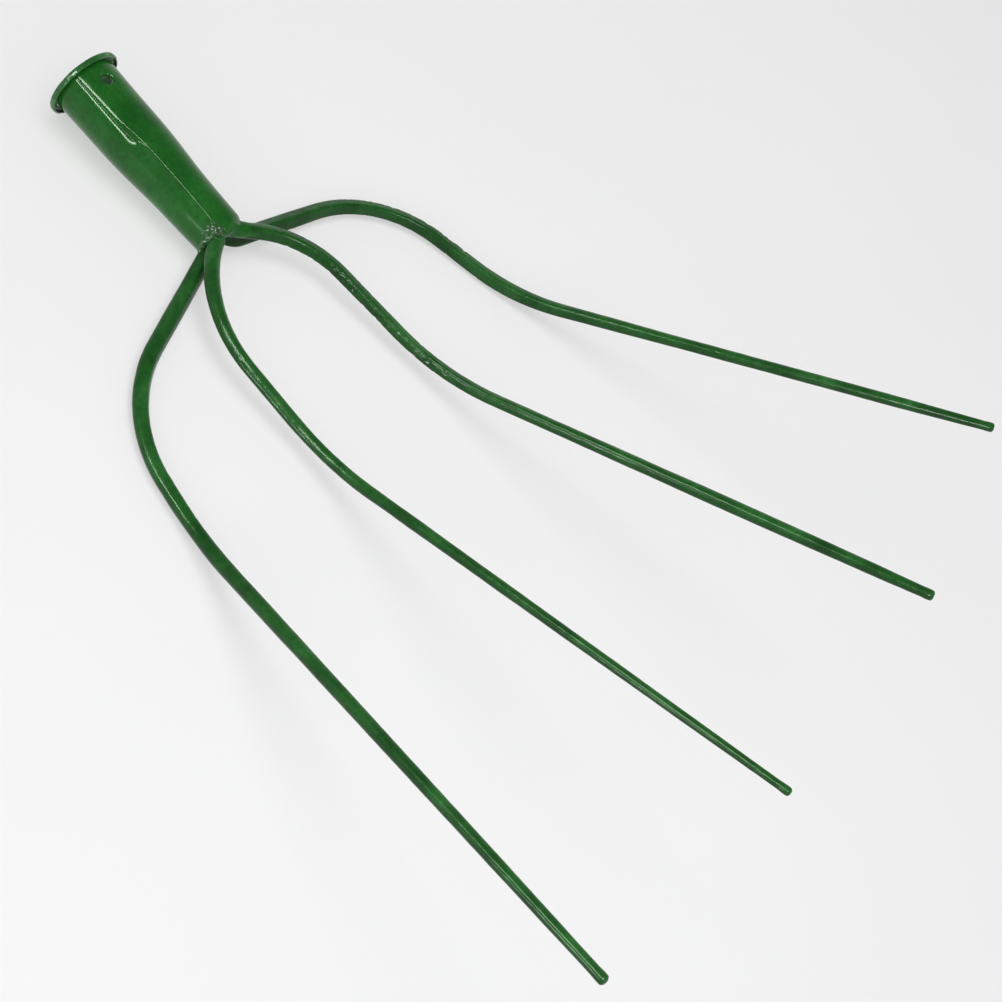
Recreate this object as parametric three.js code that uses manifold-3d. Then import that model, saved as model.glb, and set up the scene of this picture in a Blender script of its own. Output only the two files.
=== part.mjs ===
// Four-tine fork head: a rolled conical socket with a lip ring at its mouth, and four hand-bent
// tapered tines whose shanks are bundled into the narrow end of the socket and welded there.
//
// Everything is drawn first in the head frame: millimetres, +Y forward along the tines, +X to the
// right, +Z up, y = 0 at the heel bends and z = 0 under the straight part of the tines.  At the end
// the head is tipped back until it rests on its lip ring and its heel bends, as it does when laid
// down, and is centred over the origin.
import * as THREE from "three";
import Module from "manifold-3d";

const wasm = await Module();
wasm.setup();
const { Manifold, Mesh } = wasm;

// ---- driving dimensions (mm, degrees) ----
const GAP = 0.3; // clearance left between neighbouring pieces
const MOUTH = new THREE.Vector3(0, -184.5, 111); // centre of the socket mouth
const SOCKET_END = new THREE.Vector3(0, -101.2, 62.3); // centre of the narrow end
const MOUTH_R = 16.5; // outside radius of the socket at the mouth
const END_R = 12.9; // outside radius at the narrow end
const WALL = 2.0; // sheet thickness
const LIP_R = 19.5; // outside radius of the lip ring
const LIP_LENGTH = 2.8; // of the ring, along the socket
const NAIL_HOLE_R = 2.9; // hole for the nail that holds the handle
const NAIL_HOLE_AT = 11.2; // its distance from the mouth
const NAIL_HOLE_TURN = 92; // its turn around the socket, from +X towards up
const SEAM_TURN = 60; // where the sheet's edges meet
const SHANK_R = 4.15; // radius of the thickest shanks in the socket
const SHANK_DEPTH = 18; // how far each shank runs into the socket
const BUNDLE = SHANK_R + GAP / 2; // offset of each shank from the socket's axis
const NECK_BEND = 8; // bend radius where a shank turns sideways

// Each tine as the corners of its centreline, with its radius at a few shares of its length from tip
// to socket.  side +1 is right; level +1 lies on top in the bundle; neckOut is how far past the
// socket's end the tine turns sideways.  The tines are drawn out and bent by hand, so left and right
// differ by a few millimetres and each one swells and thins a little.
const TINES = [
  { name: "tine_outer_right", side: 1, level: -1, tip: [180, 243, 4.5], heel: [114.5, -9.3, 5.2],
    shoulder: [98.4, -70.8, 34.9], heelBend: 110, shoulderBend: 74, neckOut: 1.8,
    radii: [[0, 2.2], [0.17, 2.65], [0.36, 3.15], [0.52, 3.5], [0.71, 3.7], [0.9, 4.15], [1, 4.15]] },
  { name: "tine_inner_right", side: 1, level: 1, tip: [69, 256.5, 4.5], heel: [41.6, 1, 5.5],
    shoulder: [39.5, -80, 55.6], heelBend: 94, shoulderBend: 70, neckOut: 1.7,
    radii: [[0, 1.85], [0.1, 2.05], [0.32, 2.5], [0.5, 2.8], [0.67, 3.1], [0.85, 3.45], [1, 3.95]] },
  { name: "tine_inner_left", side: -1, level: 1, tip: [-63, 257, 4.5], heel: [-40.9, 2.8, 5.5],
    shoulder: [-35.7, -79.7, 53.3], heelBend: 114, shoulderBend: 52, neckOut: 2.3,
    radii: [[0, 2.3], [0.06, 2.8], [0.2, 3.2], [0.3, 3.3], [0.5, 3.1], [0.85, 3.3], [1, 3.6]] },
  { name: "tine_outer_left", side: -1, level: -1, tip: [-186.5, 233, 4.5], heel: [-116.2, -6.8, 5.1],
    shoulder: [-97, -84, 45.8], heelBend: 108, shoulderBend: 63, neckOut: 3.8,
    radii: [[0, 2.25], [0.1, 2.85], [0.35, 3], [0.61, 3.65], [0.78, 3.35], [0.9, 3.8], [1, 4.15]] },
];

// ---- the socket's own directions ----
const SIDEWAYS = new THREE.Vector3(1, 0, 0);
const AXIS = SOCKET_END.clone().sub(MOUTH).normalize();
const UP = SIDEWAYS.clone().cross(AXIS);
const SOCKET_LENGTH = MOUTH.distanceTo(SOCKET_END);

// A point in the socket's frame: distance from the mouth, sideways and up offsets.
function inSocket(along, x, up) {
  return MOUTH.clone().addScaledVector(AXIS, along).addScaledVector(SIDEWAYS, x)
    .addScaledVector(UP, up);
}

function outerRadius(along) {
  return MOUTH_R + ((END_R - MOUTH_R) * along) / SOCKET_LENGTH;
}

// ---- closed solids ----
// An indexed closed shell, turned outward if its volume comes out negative.
function shell(points, faces) {
  let volume = 0;
  for (const [a, b, c] of faces) {
    volume += points[a].dot(points[b].clone().cross(points[c]));
  }
  const geometry = new THREE.BufferGeometry();
  const flat = new Float32Array(points.flatMap((p) => [p.x, p.y, p.z]));
  geometry.setAttribute("position", new THREE.BufferAttribute(flat, 3));
  geometry.setIndex(faces.flatMap(([a, b, c]) => (volume > 0 ? [a, b, c] : [a, c, b])));
  return geometry;
}

// Rows of points joined into a tube, with a flat fan over each end, or joined end to end.
function skin(rows, looped) {
  const sides = rows[0].length;
  const points = rows.flat();
  const faces = [];
  const last = looped ? rows.length : rows.length - 1;
  for (let i = 0; i < last; i++) {
    for (let j = 0; j < sides; j++) {
      const a = i * sides + j;
      const b = i * sides + ((j + 1) % sides);
      const c = ((i + 1) % rows.length) * sides + j;
      const d = ((i + 1) % rows.length) * sides + ((j + 1) % sides);
      faces.push([a, b, d], [a, d, c]);
    }
  }
  if (!looped) {
    for (const [row, flip] of [[0, true], [rows.length - 1, false]]) {
      const centre = new THREE.Vector3();
      rows[row].forEach((p) => centre.add(p));
      points.push(centre.divideScalar(sides));
      for (let j = 0; j < sides; j++) {
        const a = row * sides + j;
        const b = row * sides + ((j + 1) % sides);
        faces.push(flip ? [b, a, points.length - 1] : [a, b, points.length - 1]);
      }
    }
  }
  return shell(points, faces);
}

// A closed profile of [along, radius] pairs turned about the socket's axis.
function turned(profile, steps) {
  const rows = [];
  for (let i = 0; i < steps; i++) {
    const turn = (2 * Math.PI * i) / steps;
    rows.push(profile.map(([along, r]) => inSocket(along, r * Math.cos(turn), r * Math.sin(turn))));
  }
  return skin(rows, true);
}

// A round bar swept along a path, its radius given at each point.
function bar(path, radii, sides) {
  const rows = [];
  const tangent = path[1].clone().sub(path[0]).normalize();
  let across = new THREE.Vector3(0, 0, 1).cross(tangent).normalize();
  for (let i = 0; i < path.length; i++) {
    const back = path[Math.max(i - 1, 0)];
    const ahead = path[Math.min(i + 1, path.length - 1)];
    const t = ahead.clone().sub(back).normalize();
    across = across.clone().addScaledVector(t, -across.dot(t)).normalize();
    const other = t.clone().cross(across);
    const row = [];
    for (let j = 0; j < sides; j++) {
      const turn = (2 * Math.PI * j) / sides;
      row.push(path[i].clone().addScaledVector(across, radii[i] * Math.cos(turn))
        .addScaledVector(other, radii[i] * Math.sin(turn)));
    }
    rows.push(row);
  }
  return skin(rows, false);
}

// The corners joined by straight lines, each inner corner rounded by an arc of its bend radius.
function bentPath(corners, bends) {
  const path = [corners[0]];
  for (let i = 1; i < corners.length - 1; i++) {
    const bend = bends[i - 1];
    const toBack = corners[i - 1].clone().sub(corners[i]).normalize();
    const toAhead = corners[i + 1].clone().sub(corners[i]).normalize();
    const half = toBack.angleTo(toAhead) / 2;
    const middle = toBack.clone().add(toAhead).normalize();
    const centre = corners[i].clone().addScaledVector(middle, bend / Math.sin(half));
    const from = corners[i].clone().addScaledVector(toBack, bend / Math.tan(half)).sub(centre);
    const to = corners[i].clone().addScaledVector(toAhead, bend / Math.tan(half)).sub(centre);
    const sweep = Math.PI - 2 * half;
    const steps = Math.max(4, Math.round(sweep / 0.13));
    for (let k = 0; k <= steps; k++) {
      const f = k / steps;
      path.push(centre.clone().addScaledVector(from, Math.sin((1 - f) * sweep) / Math.sin(sweep))
        .addScaledVector(to, Math.sin(f * sweep) / Math.sin(sweep)));
    }
  }
  path.push(corners[corners.length - 1]);
  return path;
}

// Long straight runs get a few points in between, so that the taper is followed.
function divided(path, longest) {
  const out = [path[0]];
  for (let i = 1; i < path.length; i++) {
    const parts = Math.ceil(path[i].distanceTo(path[i - 1]) / longest);
    for (let k = 1; k <= parts; k++) out.push(path[i - 1].clone().lerp(path[i], k / parts));
  }
  return out;
}

// ---- booleans ----
function solid(geometry) {
  return new Manifold(new Mesh({
    numProp: 3,
    vertProperties: new Float32Array(geometry.attributes.position.array),
    triVerts: new Uint32Array(geometry.index.array),
  }));
}

function geometryOf(manifold) {
  const mesh = manifold.getMesh();
  const geometry = new THREE.BufferGeometry();
  geometry.setAttribute("position", new THREE.BufferAttribute(new Float32Array(mesh.vertProperties), 3));
  geometry.setIndex([...mesh.triVerts]);
  return geometry;
}

function cut(geometry, cutters) {
  let body = solid(geometry);
  for (const cutter of cutters) body = body.subtract(solid(cutter));
  return geometryOf(body);
}

// ---- the pieces ----
// The tube is nailed through one wall to its handle, and its end is notched where a tine leaves it.
function socketTube() {
  const tube = turned([
    [0, MOUTH_R - WALL], [0, MOUTH_R], [SOCKET_LENGTH, END_R], [SOCKET_LENGTH, END_R - WALL],
  ], 48);
  const turn = THREE.MathUtils.degToRad(NAIL_HOLE_TURN);
  const at = (r) => inSocket(NAIL_HOLE_AT, r * Math.cos(turn), r * Math.sin(turn));
  const nailHole = bar([at(8), at(26)], [NAIL_HOLE_R, NAIL_HOLE_R], 24);
  return cut(tube, [nailHole, ...TINES.map((tine) => tineSolid(tine, GAP, 14))]);
}

// The lip ring: flat where it faces the tube, rounded outside.
function lipRing() {
  const inner = MOUTH_R + GAP;
  const round = (LIP_R - inner) * 0.55;
  const profile = [[0, inner], [0, LIP_R - round]];
  for (let i = 1; i <= 6; i++) {
    const turn = (Math.PI * i) / 7;
    profile.push([
      LIP_LENGTH / 2 - (LIP_LENGTH / 2) * Math.cos(turn), LIP_R - round + round * Math.sin(turn),
    ]);
  }
  profile.push([LIP_LENGTH, LIP_R - round], [LIP_LENGTH, inner]);
  return turned(profile, 48);
}

function tinePath(tine) {
  const neck = inSocket(SOCKET_LENGTH + tine.neckOut, tine.side * BUNDLE, tine.level * BUNDLE);
  const shankEnd = inSocket(SOCKET_LENGTH - SHANK_DEPTH, tine.side * BUNDLE, tine.level * BUNDLE);
  const corners = [
    new THREE.Vector3(...tine.tip), new THREE.Vector3(...tine.heel),
    new THREE.Vector3(...tine.shoulder), neck, shankEnd,
  ];
  return divided(bentPath(corners, [tine.heelBend, tine.shoulderBend, NECK_BEND]), 30);
}

function radiusAt(table, share) {
  let i = 1;
  while (i < table.length - 1 && share > table[i][0]) i++;
  const [[from, a], [to, b]] = [table[i - 1], table[i]];
  return a + (b - a) * Math.min(1, Math.max(0, (share - from) / (to - from)));
}

function tineSolid(tine, extra, sides) {
  const path = tinePath(tine);
  const reach = [0];
  for (let i = 1; i < path.length; i++) reach.push(reach[i - 1] + path[i].distanceTo(path[i - 1]));
  const whole = reach[reach.length - 1] - SHANK_DEPTH - tine.neckOut;
  return bar(path, reach.map((s) => radiusAt(tine.radii, s / whole) + extra), sides);
}

// One weld bead: a short fat sausage bent around the rim of the socket's end, trimmed clear of the
// tines and the tube.
function weldBead(fromTurn, toTurn, thickness, inset) {
  const path = [];
  const radii = [];
  const steps = 10;
  for (let i = 0; i <= steps; i++) {
    const f = i / steps;
    const turn = THREE.MathUtils.degToRad(fromTurn + (toTurn - fromTurn) * f);
    const r = END_R - inset;
    path.push(inSocket(SOCKET_LENGTH + thickness * 0.55, r * Math.cos(turn), r * Math.sin(turn)));
    radii.push(thickness * (0.35 + 0.65 * Math.sqrt(Math.sin(Math.PI * (0.06 + 0.88 * f)))));
  }
  const tube = turned([
    [0, 1], [0, MOUTH_R + GAP], [SOCKET_LENGTH + GAP, END_R + GAP], [SOCKET_LENGTH + GAP, 1],
  ], 48);
  return cut(bar(path, radii, 12), [tube, ...TINES.map((tine) => tineSolid(tine, GAP, 12))]);
}

// The seam bead lies along the outside of the tube, from behind the lip ring to the narrow end.
function seamBead() {
  const turn = THREE.MathUtils.degToRad(SEAM_TURN);
  const rows = [];
  for (let i = 0; i <= 8; i++) {
    const f = i / 8;
    const along = LIP_LENGTH + 3 + (SOCKET_LENGTH - LIP_LENGTH - 6) * f;
    const half = 1.3 * (0.5 + 0.5 * Math.sqrt(Math.sin(Math.PI * (0.05 + 0.9 * f))));
    const foot = outerRadius(along) + GAP;
    const row = [];
    for (const [across, height] of [[-1, 0], [-0.75, 0.55], [0, 0.9], [0.75, 0.55], [1, 0]]) {
      const x = (foot + height) * Math.cos(turn) - across * half * Math.sin(turn);
      const up = (foot + height) * Math.sin(turn) + across * half * Math.cos(turn);
      row.push(inSocket(along, x, up));
    }
    rows.push(row);
  }
  return skin(rows, false);
}

// ---- assembly ----
function enamel() {
  return new THREE.MeshStandardMaterial({ color: 0x1f5a26, roughness: 0.28, metalness: 0.0 });
}

function lowest(geometry, matrix) {
  const p = geometry.attributes.position;
  const v = new THREE.Vector3();
  let low = Infinity;
  for (let i = 0; i < p.count; i++) low = Math.min(low, v.fromBufferAttribute(p, i).applyMatrix4(matrix).z);
  return low;
}

// The angle, between a and b, at which rises(angle) changes from true to false.
function balance(a, b, rises) {
  for (let i = 0; i < 40; i++) {
    const m = (a + b) / 2;
    if (rises(m)) a = m;
    else b = m;
  }
  return (a + b) / 2;
}

// Tips the head back, and rolls it by a hair, until the lip ring and both outer tines stand level.
function restMatrix(ring, right, left) {
  const tipped = (tip, roll) =>
    new THREE.Matrix4().makeRotationY(roll).multiply(new THREE.Matrix4().makeRotationX(tip));
  let tip = 0.4;
  let roll = 0;
  for (let round = 0; round < 6; round++) {
    tip = balance(0.2, 0.8, (t) => lowest(ring, tipped(t, roll)) > lowest(right, tipped(t, roll)));
    roll = balance(-0.1, 0.1, (r) => lowest(left, tipped(tip, r)) < lowest(right, tipped(tip, r)));
  }
  return tipped(tip, roll);
}

const pieces = [["socket_tube", socketTube()], ["lip_ring", lipRing()], ["seam_bead", seamBead()]];
for (const tine of TINES) pieces.push([tine.name, tineSolid(tine, 0, 14)]);
pieces.push(["weld_top_right", weldBead(46, 84, 2.5, 0.6)], ["weld_top_left", weldBead(96, 134, 2.5, 0.6)],
  ["weld_bottom_left", weldBead(226, 264, 2, 1.9)], ["weld_bottom_right", weldBead(276, 314, 2, 1.9)]);

const piece = new Map(pieces);
const rest = restMatrix(
  piece.get("lip_ring"), piece.get("tine_outer_right"), piece.get("tine_outer_left"),
);
const bounds = new THREE.Box3();
for (const [, geometry] of pieces) {
  geometry.applyMatrix4(rest);
  geometry.computeBoundingBox();
  bounds.union(geometry.boundingBox);
}
const centre = bounds.getCenter(new THREE.Vector3());

const head = new THREE.Group();
for (const [name, geometry] of pieces) {
  geometry.translate(-centre.x, -centre.y, -bounds.min.z);
  geometry.computeVertexNormals();
  const mesh = new THREE.Mesh(geometry, enamel());
  mesh.name = name;
  head.add(mesh);
}

export default head;
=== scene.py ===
import math

import bmesh
import bpy
import numpy as np
from mathutils import Matrix, Vector


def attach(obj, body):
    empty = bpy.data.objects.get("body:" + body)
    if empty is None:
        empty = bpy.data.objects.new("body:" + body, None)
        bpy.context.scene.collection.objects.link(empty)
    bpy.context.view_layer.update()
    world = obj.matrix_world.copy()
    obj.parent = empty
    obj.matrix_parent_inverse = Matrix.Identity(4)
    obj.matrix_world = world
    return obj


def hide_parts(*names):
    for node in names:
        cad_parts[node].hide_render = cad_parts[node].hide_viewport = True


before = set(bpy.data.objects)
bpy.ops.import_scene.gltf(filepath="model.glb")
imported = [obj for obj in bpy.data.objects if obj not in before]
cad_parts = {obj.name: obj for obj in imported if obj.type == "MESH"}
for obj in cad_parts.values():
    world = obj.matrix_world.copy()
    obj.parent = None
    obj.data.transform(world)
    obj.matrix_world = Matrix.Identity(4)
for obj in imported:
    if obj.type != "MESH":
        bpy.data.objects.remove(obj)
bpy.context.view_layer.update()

MM = 0.001

# ---------------------------------------------------------------- camera
CAMERA_AT = (0.43981, 0.07759, 0.61052)
CAMERA_RIGHT = Vector((-0.587357, 0.693964, 0.416444))
CAMERA_UP = Vector((-0.545129, -0.719552, 0.430208))
LENS_MM = 56.479
SENSOR_MM = 36.0
NEAREST, FARTHEST = 0.01, 50


def make_camera():
    data = bpy.data.cameras.new("camera")
    data.sensor_width = SENSOR_MM
    data.lens = LENS_MM
    data.clip_start = NEAREST
    data.clip_end = FARTHEST
    camera = bpy.data.objects.new("camera", data)
    bpy.context.scene.collection.objects.link(camera)
    back = CAMERA_RIGHT.cross(CAMERA_UP).normalized()
    turn = Matrix((CAMERA_RIGHT, CAMERA_UP, back)).transposed()
    camera.matrix_world = Matrix.Translation(CAMERA_AT) @ turn.to_4x4()
    bpy.context.scene.camera = camera


make_camera()

# ---------------------------------------------------------------- driving sizes (mm)
MOUTH = np.array([4.228, -221.216, 19.532])
AXIS = np.array([0.000683, 0.997817, -0.066034])
SIDE = np.array([0.999946, 0.0, 0.010346])
UP = np.cross(SIDE, AXIS)
LENGTH = 96.49
MOUTH_R = 16.5
END_R = 12.9
WALL = 2.0
LEAST_WALL = 1.6
EDGE_R = 0.8
LIP_R = 19.5
LIP_LENGTH = 2.8
LIP_EDGE_R = 0.85
NAIL_HOLE_AT = 11.2
NAIL_HOLE_TURN = 92.0
NAIL_HOLE_R = 2.9
SHANK_RUN = 20.0
NECK_BEND = 8.0

# How far the tube swells past a plain cone: everywhere, in its middle and past its middle.
EVEN_BULGE, MIDDLE_BULGE, NARROW_BULGE = -0.35, 0.85, 0.2
MIDDLE_BULGE_AT, MIDDLE_BULGE_RUN = 41, 20
NARROW_BULGE_AT, NARROW_BULGE_RUN = 60, 30

# The tube's narrow end: drawn in over the upper left tine, with a tongue laid on that tine.
PINCH, PINCH_TURN, PINCH_SPREAD = 1.4, math.radians(128), 0.72
TONGUE, TONGUE_TURN, TONGUE_SPREAD = 3.0, math.radians(126), 0.55

# Shallow dents in the tube: depth, size in mm, seed.
DENTS = [(0.06, 36, 3), (0.010, 11, 4)]

# Wobble of the lip ring: depth, size in mm, seed.
LIP_WOBBLE = [(0.12, 14, 21), (0.07, 4, 22)]

# The two lines of the folded joint on the socket: distance from the mouth (mm), turn (degrees).
LONG_FOLD = [(0, 52.0), (13, 53.3), (19, 53.9), (28, 55.8), (35, 58.5), (42, 62.0), (48, 64.6),
             (57, 65.3), (74, 65.5), (86, 64.2), (96, 62.8)]
SHORT_FOLD = [(0, 47.6), (12, 47.0), (19, 46.0), (26, 44.9), (34, 43.2), (42, 41.6)]

# The valley between them: distance from the mouth, depth and width; where it starts and ends.
VALLEY_AT = [0, 5, 15, 30, 40]
VALLEY_DEPTH = [0.12, 0.17, 0.25, 0.40, 0.60]
VALLEY_WIDTH = [0.50, 0.55, 0.75, 1.10, 1.45]
VALLEY_START, VALLEY_STOP = 1, 45
VALLEY_SOFTNESS = 0.08

# The flat facet that rises to the long fold past the valley, tangent to the cone at its own turn.
FACET_TURN = math.radians(45.5)
FACET_START, FACET_STOP = 27, 98
RIDGE_BACK = 6
RIDGE_SOFTNESS = 0.14

# Each tine: corners of its centreline (tip, heel, shoulder, neck, shank end), the bend radii there,
# its radius, squareness (0 round, 1 square) and twist in degrees at shares of its length, and the
# zones the hammer has marked as (from share, to share, middle turn, half width of turn, depth).
TINES = {
    "tine_outer_right": dict(
        corners=[(183.23, 208.85, 117.02), (118.89, -17.21, 4.3), (102.8, -85.5, 3.24),
                 (8.64, -123.42, 8.8), (8.63, -143.18, 10.1)],
        bends=(110, 74),
        radii=[(0, 2.15), (0.17, 2.65), (0.36, 3.1), (0.52, 3.45), (0.71, 3.65), (0.86, 4.1),
               (1, 4.1)],
        square=[(0, 0.0), (0.6, 0.1), (0.8, 0.25), (1, 0.15)], twist=[(0, 20), (1, 20)],
        hammer=[(0.60, 0.97, 0, 180, 0.35)], seed=11),
    "tine_inner_right": dict(
        corners=[(72.17, 220.92, 121.9), (45.95, -8.13, 8.41), (43.76, -102.97, 17.04),
                 (8.55, -122.95, 17.38), (8.54, -142.61, 18.68)],
        bends=(94, 70),
        radii=[(0, 1.8), (0.1, 2.0), (0.32, 2.45), (0.5, 2.8), (0.67, 3.1), (0.85, 3.45),
               (1, 3.95)],
        square=[(0, 0.0), (0.6, 0.1), (0.8, 0.2), (1, 0.15)], twist=[(0, 35), (1, 35)],
        hammer=[(0.60, 0.97, 0, 180, 0.35)], seed=12),
    "tine_inner_left": dict(
        corners=[(-59.82, 221.37, 120.76), (-36.56, -6.52, 8.36), (-31.42, -101.68, 14.34),
                 (-0.05, -122.36, 17.25), (-0.06, -142.61, 18.6)],
        bends=(114, 52),
        radii=[(0, 2.25), (0.06, 2.75), (0.2, 3.15), (0.3, 3.25), (0.5, 3.05), (0.8, 3.15),
               (0.93, 3.5), (1, 3.8)],
        square=[(0, 0.0), (0.5, 0.15), (0.68, 0.7), (0.9, 0.75), (1, 0.4)],
        twist=[(0, -20), (0.6, -24), (1, -30)],
        hammer=[(0.62, 0.97, 0, 180, 0.9), (0.70, 0.93, 110, 50, 1.3)], seed=13),
    "tine_outer_left": dict(
        corners=[(-183.2, 199.9, 108.76), (-111.81, -14.93, 2.94), (-92.63, -102.18, 5.08),
                 (0.04, -121.43, 8.57), (0.03, -143.18, 10.01)],
        bends=(108, 63),
        radii=[(0, 2.2), (0.1, 2.8), (0.35, 2.95), (0.61, 3.6), (0.78, 3.3), (0.9, 3.75),
               (1, 4.1)],
        square=[(0, 0.0), (0.5, 0.15), (0.62, 0.75), (0.92, 0.9), (1, 0.4)],
        twist=[(0, -20), (0.6, -22), (1, -28)],
        hammer=[(0.58, 0.96, 0, 180, 0.7), (0.62, 0.84, 90, 90, 1.3)], seed=14),
}


def unit(v):
    return v / np.linalg.norm(v)


def smooth(x):
    x = np.clip(x, 0, 1)
    return x * x * (3 - 2 * x)


def waves(points, size, seed, count=28):
    """Smooth noise about 0, rms near 1: a sum of plane waves about `size` mm long."""
    rng = np.random.default_rng(seed)
    k = rng.normal(size=(count, 3))
    k *= 2 * math.pi / size * rng.uniform(0.6, 1.5, (count, 1)) / np.linalg.norm(k, axis=1)[:, None]
    phase = rng.uniform(0, 2 * math.pi, count)
    return np.cos(points @ k.T + phase).sum(-1) / math.sqrt(count / 2)


def layered(points, layers):
    """Several sizes of waves at once, each given as (depth, size, seed)."""
    return sum(depth * waves(points, size, seed) for depth, size, seed in layers)


def ring_turns(count):
    return np.linspace(0, 2 * math.pi, count, endpoint=False)


# ---------------------------------------------------------------- meshes
def link(name, mesh):
    obj = bpy.data.objects.new(name, mesh)
    bpy.context.scene.collection.objects.link(obj)
    return obj


def grid_object(name, grid, loop_rows=False):
    """Rings of points, in mm, joined into one closed smooth mesh: capped, or looped end to end."""
    rows, cols, _ = grid.shape
    verts = (grid.reshape(-1, 3) * MM).tolist()
    i = np.arange(rows if loop_rows else rows - 1)[:, None]
    j = np.arange(cols)[None, :]
    a = i * cols + j
    b = i * cols + (j + 1) % cols
    c = ((i + 1) % rows) * cols + (j + 1) % cols
    d = ((i + 1) % rows) * cols + j
    faces = np.stack([a, b, c, d], -1).reshape(-1, 4).tolist()
    if not loop_rows:
        for row, flip in ((0, True), (rows - 1, False)):
            verts.append((grid[row].mean(0) * MM).tolist())
            ring = [row * cols + k for k in range(cols)]
            for k in range(cols):
                tri = [ring[k], ring[(k + 1) % cols], len(verts) - 1]
                faces.append(tri[::-1] if flip else tri)
    mesh = bpy.data.meshes.new(name)
    mesh.from_pydata(verts, [], faces)
    mesh.validate()
    bm = bmesh.new()
    bm.from_mesh(mesh)
    bmesh.ops.recalc_face_normals(bm, faces=bm.faces)
    if bm.calc_volume(signed=True) < 0:
        bmesh.ops.reverse_faces(bm, faces=bm.faces)
    bm.to_mesh(mesh)
    bm.free()
    mesh.shade_smooth()
    return link(name, mesh)


def finished(obj, node, material):
    """Paint a piece and hide the CAD node it stands for. Everything rides on the one body."""
    obj.data.materials.clear()
    obj.data.materials.append(material)
    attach(obj, "root")
    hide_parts(node)


def apply_modifiers(obj):
    deps = bpy.context.evaluated_depsgraph_get()
    mesh = bpy.data.meshes.new_from_object(obj.evaluated_get(deps))
    obj.modifiers.clear()
    obj.data = mesh


# ---------------------------------------------------------------- materials
def nodes_of(material):
    material.use_nodes = True
    tree = material.node_tree
    tree.nodes.clear()
    return tree


def make_node(tree, kind, **values):
    n = tree.nodes.new(kind)
    for key, value in values.items():
        if key in n.inputs.keys():
            n.inputs[key].default_value = value
        else:
            setattr(n, key, value)
    return n


def noise_node(tree, coords, scale, detail=3.0, rough=0.5, distortion=0.0):
    n = make_node(tree, "ShaderNodeTexNoise", Scale=scale, Detail=detail, Roughness=rough,
                  Distortion=distortion)
    tree.links.new(coords, n.inputs["Vector"])
    return n.outputs["Fac"]


def ramp_node(tree, fac, stops):
    n = tree.nodes.new("ShaderNodeValToRGB")
    tree.links.new(fac, n.inputs["Fac"])
    elements = n.color_ramp.elements
    while len(elements) < len(stops):
        elements.new(0.5)
    for e, (pos, colour) in zip(elements, stops):
        e.position = pos
        e.color = (*colour, 1)
    return n.outputs["Color"]


def map_node(tree, fac, low, high, to_low, to_high):
    n = make_node(tree, "ShaderNodeMapRange")
    tree.links.new(fac, n.inputs["Value"])
    for key, value in (("From Min", low), ("From Max", high),
                       ("To Min", to_low), ("To Max", to_high)):
        n.inputs[key].default_value = value
    return n.outputs["Result"]


def mix_colour(tree, fac, a, b, mode="MIX"):
    n = tree.nodes.new("ShaderNodeMix")
    n.data_type = "RGBA"
    n.blend_type = mode
    if isinstance(fac, float):
        n.inputs[0].default_value = fac
    else:
        tree.links.new(fac, n.inputs[0])
    for socket, value in ((n.inputs[6], a), (n.inputs[7], b)):
        if isinstance(value, tuple):
            socket.default_value = (*value, 1)
        else:
            tree.links.new(value, socket)
    return n.outputs[2]


def maths(tree, operation, a, b):
    n = make_node(tree, "ShaderNodeMath", operation=operation)
    tree.links.new(a, n.inputs[0])
    tree.links.new(b, n.inputs[1])
    return n.outputs["Value"]


def offset_from(tree, coords, point):
    """The vector from a point given in mm, and its length."""
    offset = make_node(tree, "ShaderNodeVectorMath", operation="SUBTRACT")
    tree.links.new(coords, offset.inputs[0])
    offset.inputs[1].default_value = point * MM
    length = make_node(tree, "ShaderNodeVectorMath", operation="LENGTH")
    tree.links.new(offset.outputs["Vector"], length.inputs[0])
    return offset.outputs["Vector"], length.outputs["Value"]


def height_of(tree, vector):
    split = make_node(tree, "ShaderNodeSeparateXYZ")
    tree.links.new(vector, split.inputs[0])
    return split.outputs["Z"]


def hollow_shade_mask(tree, coords):
    """1 in the hollow on the tine side of the lip, where painted shade darkens the paint."""
    offset, length = offset_from(tree, coords, MOUTH)
    along = make_node(tree, "ShaderNodeVectorMath", operation="DOT_PRODUCT")
    tree.links.new(offset, along.inputs[0])
    along.inputs[1].default_value = AXIS
    back = map_node(tree, along.outputs["Value"], 0.9 * MM, 1.5 * MM, 0, 1)
    inside = map_node(tree, length, (LIP_R - 0.45) * MM, (LIP_R - 0.95) * MM, 0, 1)
    return maths(tree, "MULTIPLY", back, inside)


def tine_shade_mask(tree, coords):
    """Painted shade on every tine's sides and underside, and near the welds on the low tines."""
    _, length = offset_from(tree, coords, MOUTH + LENGTH * AXIS)
    facing = height_of(tree, make_node(tree, "ShaderNodeNewGeometry").outputs["Normal"])
    near = map_node(tree, length, 85 * MM, 16 * MM, 0, 0.85)
    low = map_node(tree, height_of(tree, coords), 14.5 * MM, 12.0 * MM, 0, 1)
    side = map_node(tree, facing, 0.92, 0.55, 0.15, 1)
    under = map_node(tree, facing, 0.72, -0.1, 0, 0.62)
    # painted shade: on the sides near the welds, low down, and under every tine
    weld_side_shade = maths(tree, "MULTIPLY", maths(tree, "MULTIPLY", near, low), side)
    return maths(tree, "MAXIMUM", weld_side_shade, under)


# Noise scales of the paint, in waves per metre.
MOTTLE, SPECKLE, PINHOLES, UNEVEN_GLOSS, WAVINESS, ORANGE_PEEL = 46, 420, 900, 120, 150, 1100
WAVE_HEIGHT, PEEL_HEIGHT = 0.0004, 0.00008
PINHOLE_COLOUR = (0.006, 0.028, 0.008)
# painted shade for the hollow behind the lip ring
HOLLOW_SHADE_COLOUR = (0.001, 0.010, 0.0015)
# painted shade for the sides and undersides of the tines
TINE_SHADE_COLOUR = (0.002, 0.026, 0.003)


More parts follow.
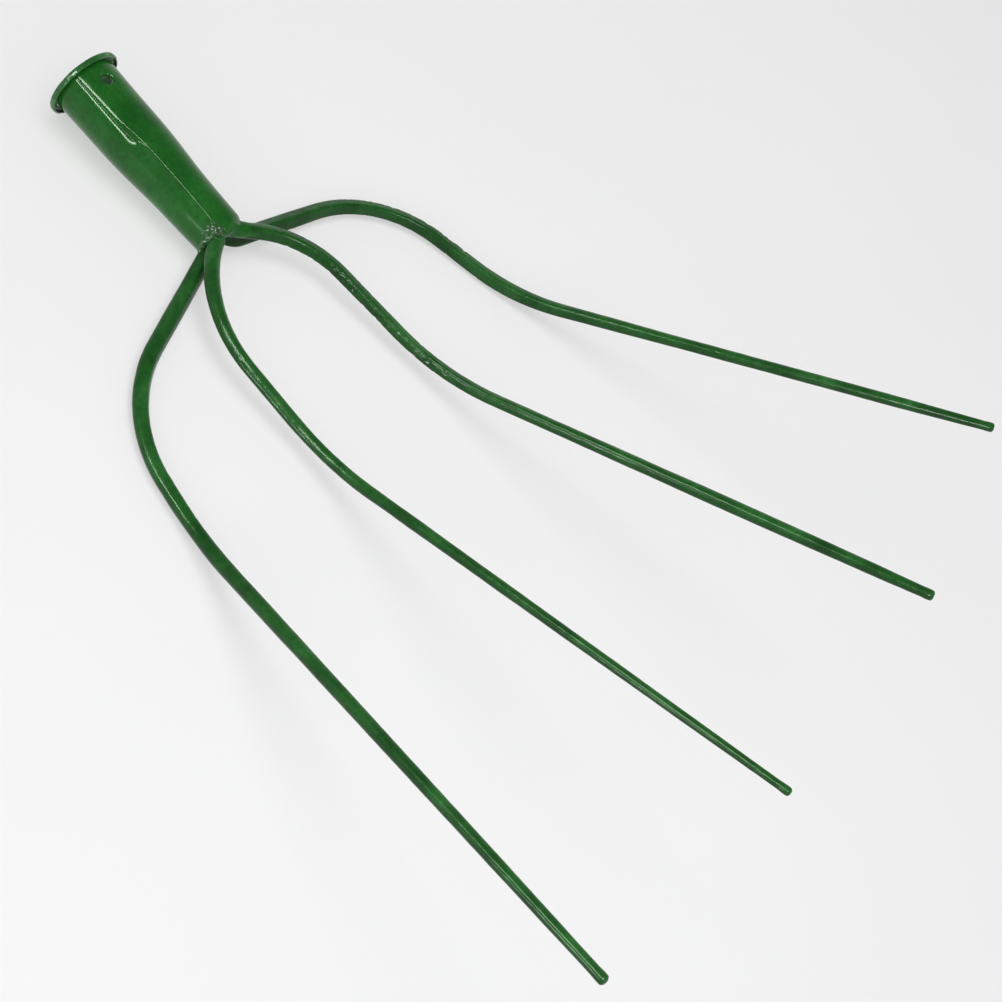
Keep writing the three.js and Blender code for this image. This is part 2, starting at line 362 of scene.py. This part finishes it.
def enamel(name, dark, mid, light, rough=(0.14, 0.26), peel=0.2, wave=0.25, level=0.25,
           ior=1.5, mask=None, mask_colour=None):
    """Glossy enamel: mottled green, uneven gloss, orange peel, pinholes and waviness.

    `mask` is a function that builds the nodes saying where the paint turns to `mask_colour`.
    """
    material = bpy.data.materials.new(name)
    tree = nodes_of(material)
    out = tree.nodes.new("ShaderNodeOutputMaterial")
    shader = tree.nodes.new("ShaderNodeBsdfPrincipled")
    tree.links.new(shader.outputs["BSDF"], out.inputs["Surface"])
    coords = tree.nodes.new("ShaderNodeTexCoord").outputs["Object"]
    broad = noise_node(tree, coords, MOTTLE, 3, 0.55, 0.6)
    colour = ramp_node(tree, broad, [(0.3, dark), (0.52, mid), (0.74, light)])
    fine = noise_node(tree, coords, SPECKLE, 4, 0.6)
    tint = ramp_node(tree, fine, [(0.35, (0.80, 0.84, 0.80)), (0.65, (1.14, 1.10, 1.12))])
    colour = mix_colour(tree, 1.0, colour, tint, "MULTIPLY")
    pinholes = map_node(tree, noise_node(tree, coords, PINHOLES, 2, 0.5), 0.70, 0.76, 0.0, 0.8)
    colour = mix_colour(tree, pinholes, colour, PINHOLE_COLOUR)
    if mask:
        colour = mix_colour(tree, mask(tree, coords), colour, mask_colour)
    tree.links.new(colour, shader.inputs["Base Color"])
    gloss = noise_node(tree, coords, UNEVEN_GLOSS, 4, 0.6)
    tree.links.new(map_node(tree, gloss, 0.3, 0.7, *rough), shader.inputs["Roughness"])
    shader.inputs["IOR"].default_value = ior
    shader.inputs["Specular IOR Level"].default_value = level
    wavy = make_node(tree, "ShaderNodeBump", Strength=wave, Distance=WAVE_HEIGHT)
    tree.links.new(noise_node(tree, coords, WAVINESS, 2, 0.5), wavy.inputs["Height"])
    skin = make_node(tree, "ShaderNodeBump", Strength=peel, Distance=PEEL_HEIGHT)
    tree.links.new(noise_node(tree, coords, ORANGE_PEEL, 3, 0.55), skin.inputs["Height"])
    tree.links.new(wavy.outputs["Normal"], skin.inputs["Normal"])
    tree.links.new(skin.outputs["Normal"], shader.inputs["Normal"])
    return material


SOCKET_PAINT = enamel(
    "socket_paint", (0.0075, 0.090, 0.0085), (0.0115, 0.116, 0.0125), (0.018, 0.137, 0.019),
    rough=(0.10, 0.20), peel=0.07, wave=0.13)
FILLET_PAINT = enamel(
    "fillet_paint", (0.008, 0.090, 0.009), (0.012, 0.115, 0.013), (0.020, 0.137, 0.021),
    rough=(0.15, 0.3))
TINE_PAINT = enamel(
    "tine_paint", (0.007, 0.060, 0.008), (0.014, 0.102, 0.015), (0.027, 0.145, 0.028),
    rough=(0.15, 0.30), wave=0.6, level=0.30, ior=1.4,
    mask=tine_shade_mask, mask_colour=TINE_SHADE_COLOUR)
WELD_PAINT = enamel(
    "weld_paint", (0.003, 0.036, 0.004), (0.009, 0.080, 0.010), (0.018, 0.115, 0.020),
    rough=(0.10, 0.22), wave=0.35, level=0.7)
# The lip's lightest green is painted highlight, standing in for the band's reflections; its hollow
# gets painted shade.
LIP_PAINT_AND_SHEEN = enamel(
    "lip_paint_and_sheen", (0.006, 0.060, 0.007), (0.026, 0.140, 0.029), (0.130, 0.280, 0.135),
    rough=(0.14, 0.3), wave=0.8, level=0.35, mask=hollow_shade_mask, mask_colour=HOLLOW_SHADE_COLOUR)


# ---------------------------------------------------------------- the socket
def in_socket(along, turn, r):
    """Points in mm from their distance along the socket, turn about it (radians) and radius."""
    along, turn, r = np.broadcast_arrays(along, turn, r)
    return (MOUTH + along[..., None] * AXIS + (r * np.cos(turn))[..., None] * SIDE
            + (r * np.sin(turn))[..., None] * UP)


def cone_radius(along):
    return MOUTH_R + (END_R - MOUTH_R) * along / LENGTH


def fold_turns(along):
    long_turn = np.interp(along, *zip(*LONG_FOLD))
    short_turn = np.interp(along, *zip(*SHORT_FOLD))
    return np.radians(long_turn), np.radians(short_turn)


def softened(shape, d, spread):
    """A profile across the socket, averaged over a few offsets so its corners are rounded."""
    offsets = np.linspace(-2, 2, 9)
    weights = np.exp(-offsets ** 2 / 2)
    return sum(w * shape(d + spread * o) for w, o in zip(weights / weights.sum(), offsets))


def socket_surface(along, turn):
    """Outside radius of the tube: a rolled cone, slightly barrelled, with its joint and dents.

    Near the mouth the joint is a narrow valley between two crests; further on only one crest is
    left: a flat facet, tangent to the cone, rises to it.
    """
    r = cone_radius(along)
    belly = (EVEN_BULGE
             + MIDDLE_BULGE * np.exp(-((along - MIDDLE_BULGE_AT) / MIDDLE_BULGE_RUN) ** 2)
             + NARROW_BULGE * smooth((along - NARROW_BULGE_AT) / NARROW_BULGE_RUN))
    long_turn, short_turn = fold_turns(along)
    deep = np.interp(along, VALLEY_AT, VALLEY_DEPTH)
    wide = np.interp(along, VALLEY_AT, VALLEY_WIDTH)
    x = (turn - (long_turn + short_turn) / 2) * r
    valley = -deep * softened(lambda v: np.exp(-np.abs(v) / wide), x, VALLEY_SOFTNESS)
    valley = valley * smooth((along - VALLEY_START) / 4) * smooth((VALLEY_STOP - along) / 6)

    def ridge(v):
        lean = np.clip(v / r + long_turn - FACET_TURN, 0, 0.5)
        top = r * (1 / np.cos(long_turn - FACET_TURN) - 1)
        return np.where(v < 0, r * (1 / np.cos(lean) - 1), top * np.exp(-np.abs(v) / RIDGE_BACK))

    facet = softened(ridge, (turn - long_turn) * r, RIDGE_SOFTNESS)
    facet = facet * smooth((along - FACET_START) / 9) * smooth((FACET_STOP - along) / 4)
    pinch = PINCH * smooth((along - (LENGTH - 1.5)) / 4.5)
    pinch = pinch * np.exp(-((turn - PINCH_TURN) / PINCH_SPREAD) ** 2)
    return r + belly + valley + facet - pinch + layered(in_socket(along, turn, r), DENTS)


def socket_end(turn):
    """Where the tube ends: cut a little unevenly, with a tongue laid over the upper left tine."""
    tongue = TONGUE * np.exp(-((turn - TONGUE_TURN) / TONGUE_SPREAD) ** 2)
    return LENGTH + 0.45 * np.sin(3 * turn + 1) + 0.3 * np.sin(7 * turn) + tongue


SOCKET_ROWS, SOCKET_COLS, BORE_ROWS = 116, 560, 30
LOWEST_TURN = math.radians(235)  # turns past this one are counted backwards from 0


def make_socket():
    turn = ring_turns(SOCKET_COLS)
    turn = np.where(turn > LOWEST_TURN, turn - 2 * math.pi, turn)
    end = socket_end(turn)
    outer = []
    for f in np.linspace(0, 1, SOCKET_ROWS):
        along = f * end
        outer.append(in_socket(along, turn, socket_surface(along, turn)))
    edge = []
    for k in range(1, 5):
        a = math.pi / 2 * k / 5
        r = socket_surface(end, turn) - EDGE_R * (1 - math.cos(a))
        edge.append(in_socket(end + EDGE_R * math.sin(a), turn, r))
    inner = []
    for f in np.linspace(1, 0, BORE_ROWS):
        along = (end + EDGE_R) * f
        r = np.minimum(cone_radius(along) - WALL, socket_surface(along, turn) - LEAST_WALL)
        inner.append(in_socket(along, turn, r))
    tube = grid_object("socket_tube_skin", np.array(outer + edge + inner), loop_rows=True)
    drill_nail_hole(tube)
    return tube


def drill_nail_hole(tube):
    """A punched hole with a dished rim, cut through one wall of the tube."""
    t = math.radians(NAIL_HOLE_TURN)
    out = unit(math.cos(t) * SIDE + math.sin(t) * UP)
    across = np.cross(AXIS, out)
    skin = float(cone_radius(NAIL_HOLE_AT))
    # height from the socket's axis, and the share of the hole's radius there
    profile = ((8.0, 0.92), (skin - 1.3, 0.92), (skin - 0.95, 1), (skin - 0.65, 1.12),
               (skin + 0.3, 1.55))
    a = ring_turns(40)
    circle = np.cos(a)[:, None] * AXIS + np.sin(a)[:, None] * across
    centre = MOUTH + NAIL_HOLE_AT * AXIS
    rows = [centre + height * out + NAIL_HOLE_R * share * circle for height, share in profile]
    cutter = grid_object("nail_hole_cutter", np.array(rows))
    mod = tube.modifiers.new("hole", "BOOLEAN")
    mod.object = cutter
    mod.operation = "DIFFERENCE"
    mod.solver = "EXACT"
    apply_modifiers(tube)
    bpy.data.objects.remove(cutter)


def make_lip():
    """The rolled lip: a flat band with rounded edges, hollow on the side that faces the tines."""
    inner = MOUTH_R - 0.1
    edge_at = LIP_R - LIP_EDGE_R
    quarter = np.linspace(0, math.pi / 2, 8)[1:]
    profile = [(0.25, inner), (0.05, inner + 0.8), (0.0, edge_at)]
    profile += [(LIP_EDGE_R - LIP_EDGE_R * math.cos(a), edge_at + LIP_EDGE_R * math.sin(a))
                for a in quarter]
    profile.append((LIP_LENGTH / 2, LIP_R + 0.05))
    profile += [(LIP_LENGTH - LIP_EDGE_R + LIP_EDGE_R * math.sin(a),
                 edge_at + LIP_EDGE_R * math.cos(a)) for a in quarter]
    profile += [(LIP_LENGTH - 0.25, LIP_R - 1.05), (LIP_LENGTH - 1.2, LIP_R - 1.2),
                (0.85, LIP_R - 1.35), (0.7, inner + 1.0), (0.95, inner + 0.25),
                (LIP_LENGTH - 0.9, inner)]
    turn = ring_turns(260)
    rows = []
    for along, r in profile:
        wobble = layered(in_socket(along + 0 * turn, turn, r), LIP_WOBBLE)
        wobble = wobble * smooth((r - inner) / 2)
        rows.append(in_socket(along + 0.6 * wobble, turn, r + np.minimum(wobble, 0.05)))
    return grid_object("lip_ring_skin", np.array(rows), loop_rows=True)


# ---------------------------------------------------------------- the tines
PATH_STEP = 0.7
TINE_COLS = 56
MOST_SQUARE = 3.2  # added to the 2 of a round section's exponent
HAND_TWIST, HAND_TWIST_RUN = 5, 45.0
MARKS_PER_ROW = 2.6
MARK_SIZES = (0.6, 1.7)
MARK_DEPTHS = (0.05, 0.13)
DEEPEST_MARK = -0.42
TIP_EDGE, TIP_SHARE = 0.9, 0.62
PAINT_DROP, PAINT_DROP_AT, PAINT_DROP_RUN = 0.07, 2.6, 1.8


def bent_path(corners, bends):
    """Points along straight runs joined by round bends, and their distance from the tip."""
    corners = [np.array(c, float) for c in corners]
    path = [corners[0]]
    for i in range(1, len(corners) - 1):
        back = unit(corners[i - 1] - corners[i])
        ahead = unit(corners[i + 1] - corners[i])
        half = math.acos(float(np.clip(back @ ahead, -1, 1))) / 2
        bend = bends[i - 1]
        centre = corners[i] + unit(back + ahead) * bend / math.sin(half)
        a = corners[i] + back * bend / math.tan(half) - centre
        b = corners[i] + ahead * bend / math.tan(half) - centre
        sweep = math.pi - 2 * half
        for f in np.linspace(0, 1, max(8, int(sweep * bend / PATH_STEP))):
            path.append(centre + a * math.sin((1 - f) * sweep) / math.sin(sweep)
                        + b * math.sin(f * sweep) / math.sin(sweep))
    path.append(corners[-1])
    path = np.array(path)
    s = np.r_[0, np.cumsum(np.linalg.norm(np.diff(path, axis=0), axis=1))]
    at = np.linspace(0, s[-1], int(s[-1] / PATH_STEP))
    return np.stack([np.interp(at, s, path[:, k]) for k in range(3)], 1), at


def tine_path(spec):
    return bent_path(spec["corners"], (*spec["bends"], NECK_BEND))


def bar_section(spec, s, share):
    """Radius, squareness exponent and twist of the bar's section along the tine."""
    radius = np.interp(share, *zip(*spec["radii"]))
    kernel = np.hanning(61) / np.hanning(61).sum()
    radius = np.convolve(np.pad(radius, 30, mode="edge"), kernel, "valid")
    power = 2 + MOST_SQUARE * np.interp(share, *zip(*spec["square"]))[:, None]
    sway = HAND_TWIST * np.sin(s / HAND_TWIST_RUN + spec["seed"])
    twist = np.radians(np.interp(share, *zip(*spec["twist"])) + sway)
    return radius, power, twist


def hammer_marks(spec, share, twist, base):
    """Round dents left by the hammer in the zones of a tine."""
    marks = np.zeros(base.shape[:2])
    rng = np.random.default_rng(spec["seed"])
    for start, stop, middle, spread, depth in spec["hammer"]:
        rows = np.flatnonzero((share > start) & (share < stop))
        for _ in range(int(len(rows) * MARKS_PER_ROW)):
            k = rng.choice(rows)
            deg = middle + rng.uniform(-spread, spread) - math.degrees(twist[k])
            j = int(round(deg / 360 * TINE_COLS)) % TINE_COLS
            size = rng.uniform(*MARK_SIZES)
            near = slice(max(0, k - 8), k + 9)
            gap = np.linalg.norm(base[near] - base[k, j], axis=-1)
            ease = smooth((share[k] - start) / 0.05) * smooth((stop - share[k]) / 0.05)
            deep = depth * ease * rng.uniform(*MARK_DEPTHS) * size
            marks[near] -= deep * np.maximum(0, 1 - (gap / size) ** 2) ** 2
    return np.maximum(marks, DEEPEST_MARK)


def make_tine(name, spec):
    """A forged bar along its bent centreline, from a blunt tip to the shank inside the socket."""
    path, s = tine_path(spec)
    share = s / (s[-1] - SHANK_RUN)
    t = np.gradient(path, axis=0)
    t /= np.linalg.norm(t, axis=1)[:, None]
    up = np.array([0, 0, 1.0])
    nrm = up - (t @ up)[:, None] * t
    nrm /= np.linalg.norm(nrm, axis=1)[:, None]
    side = np.cross(t, nrm)
    a = ring_turns(TINE_COLS)
    radius, power, twist = bar_section(spec, s, share)
    rel = a[None, :] + twist[:, None]
    shape = (np.abs(np.cos(rel)) ** power + np.abs(np.sin(rel)) ** power) ** (-1 / power)
    shape /= shape.mean(1)[:, None]
    r = radius[:, None] * shape
    ring = np.cos(a)[None, :, None] * nrm[:, None, :] + np.sin(a)[None, :, None] * side[:, None, :]
    base = path[:, None, :] + r[..., None] * ring
    bump = layered(base, [(0.028, 30, spec["seed"]), (0.014, 8, spec["seed"] + 50)])
    marks = hammer_marks(spec, share, twist, base)
    calm = smooth((s[-1] - 15 - s) / 6)[:, None]
    r = r + (bump * smooth(s / 6)[:, None] + marks) * calm
    # the tip: cut blunt, its edge rounded over, with a swelling of paint behind it
    edge = np.clip(s / TIP_EDGE, 0, 1)
    r = r * (TIP_SHARE + (1 - TIP_SHARE) * np.sqrt(1 - (1 - edge) ** 2))[:, None]
    drop = PAINT_DROP * np.exp(-((s - PAINT_DROP_AT) / PAINT_DROP_RUN) ** 2)
    r = r * (1 + drop)[:, None]
    return grid_object(name + "_bar", path[:, None, :] + r[..., None] * ring)


# ---------------------------------------------------------------- welds
LUMP_SIZE = 3.0


def blobs(name, balls, voxel, soften, rough, seed):
    """Overlapping balls (centre in mm, radius) fused by a remesh into one lumpy bead."""
    bm = bmesh.new()
    for centre, r in balls:
        made = bmesh.ops.create_icosphere(bm, subdivisions=3, radius=r * MM)
        bmesh.ops.translate(bm, verts=made["verts"], vec=Vector(centre * MM))
    mesh = bpy.data.meshes.new(name)
    bm.to_mesh(mesh)
    bm.free()
    obj = link(name, mesh)
    mod = obj.modifiers.new("fuse", "REMESH")
    mod.mode = "VOXEL"
    mod.voxel_size = voxel * MM
    ease = obj.modifiers.new("soften", "SMOOTH")
    ease.factor = 0.5
    ease.iterations = soften
    apply_modifiers(obj)
    co = np.zeros(len(obj.data.vertices) * 3)
    no = np.zeros(len(obj.data.vertices) * 3)
    obj.data.vertices.foreach_get("co", co)
    obj.data.vertex_normals.foreach_get("vector", no)
    co, no = co.reshape(-1, 3), no.reshape(-1, 3)
    co = co + no * (rough * MM * waves(co / MM, LUMP_SIZE, seed))[:, None]
    obj.data.vertices.foreach_set("co", co.ravel())
    obj.data.update()
    obj.data.shade_smooth()
    return obj


def ball(along, deg, r, size):
    """A ball of weld, given the distance past the tube's end, turn, radius it sits at and size."""
    return in_socket(LENGTH + along, math.radians(deg), r).reshape(3), size


def run_of_balls(start, stop, count, seed, jitter):
    """Balls along a line from start to stop, each (beyond the end, turn, radius, size)."""
    rng = np.random.default_rng(seed)
    balls = []
    for f in np.linspace(0, 1, count):
        along, deg, r, size = (np.array(start) * (1 - f) + np.array(stop) * f).tolist()
        balls.append(ball(along + rng.uniform(-jitter, jitter), deg + rng.uniform(-2, 2),
                          r + rng.uniform(-jitter, jitter), size * rng.uniform(0.8, 1.12)))
    return balls


def weld_top_right():
    """Lumpy bead over the inner right tine, with drops of spatter on the tube behind it."""
    balls = run_of_balls((0.6, 66, 11.4, 1.8), (0.4, 18, 11.4, 1.9), 10, 31, 0.4)
    balls += run_of_balls((0.2, 18, 11.8, 1.7), (0.8, -22, 11.6, 1.5), 8, 35, 0.4)
    balls += run_of_balls((-1.4, 56, 12.5, 1.25), (-2.4, 30, 12.5, 1.15), 5, 36, 0.7)
    balls += run_of_balls((-4.0, 60, 12.7, 1.0), (-0.8, 58, 12.6, 1.3), 3, 37, 0.4)
    balls += run_of_balls((-3.6, 48, 12.8, 0.9), (-3.0, 40, 12.8, 1.0), 2, 41, 0.4)
    balls += run_of_balls((1.6, 60, 9.8, 1.8), (3.4, 66, 7.6, 1.6), 6, 38, 0.3)
    return blobs("weld_top_right_bead", balls, 0.24, 2, 0.13, 31)


FILLET_RUN = 15


def weld_top_left():
    """Smooth fillet that carries the tube's surface on to the inner left tine."""
    balls = []
    for turn in np.linspace(76, 172, 26):
        balls.append(ball(-0.6, turn, 10.4, 2.1))
        balls.append(ball(1.2, turn, 9.7, 2.15))
        balls.append(ball(2.9, turn, 8.8 - 1.2 * abs(turn - 128) / 48, 2.1))
    path, s = tine_path(TINES["tine_inner_left"])
    root = s[-1] - SHANK_RUN
    start = root - FILLET_RUN
    for at in np.arange(start, root + 2, 0.8):
        share = (at - start) / FILLET_RUN
        centre = np.array([np.interp(at, s, path[:, k]) for k in range(3)])
        balls.append((centre + 0.5 * share * UP, 3.35 + 0.95 * smooth(share)))
    balls += run_of_balls((0.2, 168, 10.6, 1.8), (0.0, 196, 11.0, 1.6), 7, 40, 0.2)
    return blobs("weld_top_left_bead", balls, 0.34, 18, 0.03, 32)


def weld_bottom(name, start, stop, seed):
    """Plain bead under the bundle of shanks, from one turn to another."""
    balls = run_of_balls((0.4, start, 11.4, 1.7), (0.4, stop, 11.4, 1.7), 10, seed, 0.25)
    return blobs(name, balls, 0.32, 4, 0.10, seed)


def make_seam():
    """Low rounded ridge of the sheet's joint: along the valley, then along the long fold."""
    rows = []
    a = ring_turns(14)
    start, stop = LIP_LENGTH + 3, LENGTH - 3
    for along in np.linspace(start, stop, 200):
        long_turn, short_turn = fold_turns(along)
        blend = float(smooth((along - 36) / 14))
        turn = float(long_turn * blend + (long_turn + short_turn) / 2 * (1 - blend))
        ends = float(smooth((along - start) / 4) * smooth((stop - along) / 4))
        half = 0.25 + 0.38 * ends
        tall = 0.10 + 0.06 * ends + 0.04 * blend * ends
        r = float(socket_surface(np.array(along), np.array(turn))) - 0.09 - 0.22 * (1 - blend)
        rows.append(in_socket(along, turn + half * np.cos(a) / r, r + tall * np.sin(a)))
    return grid_object("seam_bead_skin", np.array(rows))


# ---------------------------------------------------------------- build
finished(make_socket(), "socket_tube", SOCKET_PAINT)
finished(make_lip(), "lip_ring", LIP_PAINT_AND_SHEEN)
for tine_name, tine_spec in TINES.items():
    finished(make_tine(tine_name, tine_spec), tine_name, TINE_PAINT)
finished(weld_top_right(), "weld_top_right", WELD_PAINT)
finished(weld_top_left(), "weld_top_left", FILLET_PAINT)
finished(weld_bottom("weld_bottom_left_bead", 206, 266, 33),
         "weld_bottom_left", WELD_PAINT)
finished(weld_bottom("weld_bottom_right_bead", 274, 336, 34),
         "weld_bottom_right", WELD_PAINT)
finished(make_seam(), "seam_bead", SOCKET_PAINT)


# ---------------------------------------------------------------- stage and light
FLOOR_HALF = 3.0
FLOOR_DROP = 0.0003
FLOOR_GLOW = 0.455


def make_floor():
    """A white floor: half of its brightness is its own, which keeps the shadows faint."""
    mesh = bpy.data.meshes.new("floor")
    s = FLOOR_HALF
    mesh.from_pydata([(-s, -s, 0), (s, -s, 0), (s, s, 0), (-s, s, 0)], [], [(0, 1, 2, 3)])
    floor = link("floor", mesh)
    floor.location.z = -FLOOR_DROP
    material = bpy.data.materials.new("floor_paper")
    tree = nodes_of(material)
    out = tree.nodes.new("ShaderNodeOutputMaterial")
    shader = tree.nodes.new("ShaderNodeBsdfPrincipled")
    shader.inputs["Roughness"].default_value = 0.85
    shader.inputs["Specular IOR Level"].default_value = 0.2
    coords = tree.nodes.new("ShaderNodeTexCoord").outputs["Object"]
    tint = ramp_node(tree, noise_node(tree, coords, 6, 2),
                     [(0.3, (0.452, 0.454, 0.455)), (0.7, (0.464, 0.465, 0.465))])
    tree.links.new(tint, shader.inputs["Base Color"])
    shader.inputs["Emission Color"].default_value = (1, 1, 1, 1)
    shader.inputs["Emission Strength"].default_value = FLOOR_GLOW
    tree.links.new(shader.outputs["BSDF"], out.inputs["Surface"])
    mesh.materials.append(material)


def new_area_light(name, shape, power):
    data = bpy.data.lights.new(name, "AREA")
    data.shape = shape
    data.energy = power
    light = bpy.data.objects.new(name, data)
    bpy.context.scene.collection.objects.link(light)
    return light


def soft_light(name, at, aim, size, power):
    """A round soft lamp that isn't seen in the shine of the paint."""
    light = new_area_light(name, "DISK", power)
    light.data.size = size
    light.location = at
    light.rotation_euler = (Vector(aim) - Vector(at)).to_track_quat("-Z", "Y").to_euler()
    light.visible_glossy = False


def strip_light(name, at, aim, size, power, colour=(1, 1, 1)):
    """A narrow lamp, its long side level along Y, seen only in the shine of the paint."""
    light = new_area_light(name, "RECTANGLE", power)
    light.data.size, light.data.size_y = size
    light.data.color = colour
    back = (Vector(at) - Vector(aim)).normalized()
    across = Vector((0, 1, 0)).cross(back).normalized()
    turn = Matrix((across, back.cross(across), back)).transposed()
    light.matrix_world = Matrix.Translation(at) @ turn.to_4x4()
    light.visible_diffuse = False
    light.visible_camera = False


SKY = [(0.0, 1.0), (0.3, 0.72), (0.62, 0.34), (0.95, 0.24)]  # height of the direction, grey
SKY_STRENGTH = 0.9


def make_world():
    """A studio that is bright round the horizon and dim overhead, where the camera hangs."""
    world = bpy.data.worlds.new("studio")
    bpy.context.scene.world = world
    tree = nodes_of(world)
    out = tree.nodes.new("ShaderNodeOutputWorld")
    back = tree.nodes.new("ShaderNodeBackground")
    coords = tree.nodes.new("ShaderNodeTexCoord").outputs["Generated"]
    sky = ramp_node(tree, height_of(tree, coords),
                    [(height, (grey, grey, grey)) for height, grey in SKY])
    tree.links.new(sky, back.inputs["Color"])
    back.inputs["Strength"].default_value = SKY_STRENGTH
    tree.links.new(back.outputs["Background"], out.inputs["Surface"])


make_floor()
make_world()
soft_light("soft_top", (-0.20, 0.05, 2.0), (0, 0, 0), 1.3, 13.0)
soft_light("key_low", (0.62, 0.17, 0.50), (0, -0.05, 0), 0.7, 1.4)
soft_light("key_high", (0.22, 0.14, 0.80), (0, -0.05, 0), 0.7, 1.5)
strip_light("strip", (0.385, -0.27, 0.512), (0.012, -0.17, 0.03), (0.085, 0.32), 3.0,
            colour=(0.88, 1.0, 0.85))
strip_light("glint_low", (0.62, -0.13, 0.15), (-0.06, -0.05, 0.01), (0.08, 0.08), 0.9)
strip_light("glint_high", (0.26, 0.24, 0.35), (-0.09, -0.09, 0.01), (0.13, 0.11), 1.3)

scene = bpy.context.scene
scene.view_settings.view_transform = "Standard"
scene.view_settings.look = "None"
